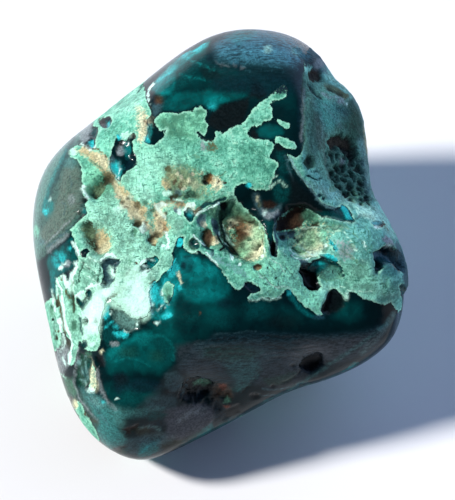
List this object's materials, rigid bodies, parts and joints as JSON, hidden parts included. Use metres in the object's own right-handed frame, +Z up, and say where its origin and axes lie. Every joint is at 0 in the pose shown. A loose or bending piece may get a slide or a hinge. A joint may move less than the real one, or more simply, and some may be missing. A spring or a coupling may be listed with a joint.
{
  "type": "dioptase specimen",
  "caption": "Tumbled pebble of dioptase with a crust of pale green copper minerals, worn faces and pitted hollows, resting on its flattest side.",
  "frame": {"origin": "centre of the stone's footprint box, on the surface it rests on", "axes": "+X to the right and -Y to the front as the show side faces the viewer, +Z up"},
  "size_m": [0.027, 0.0288, 0.0202],
  "materials": {
    "dioptase": "polished"
  },
  "bodies": {
    "root": {"dioptase_stone": "dioptase"}
  },
  "joints": []
}
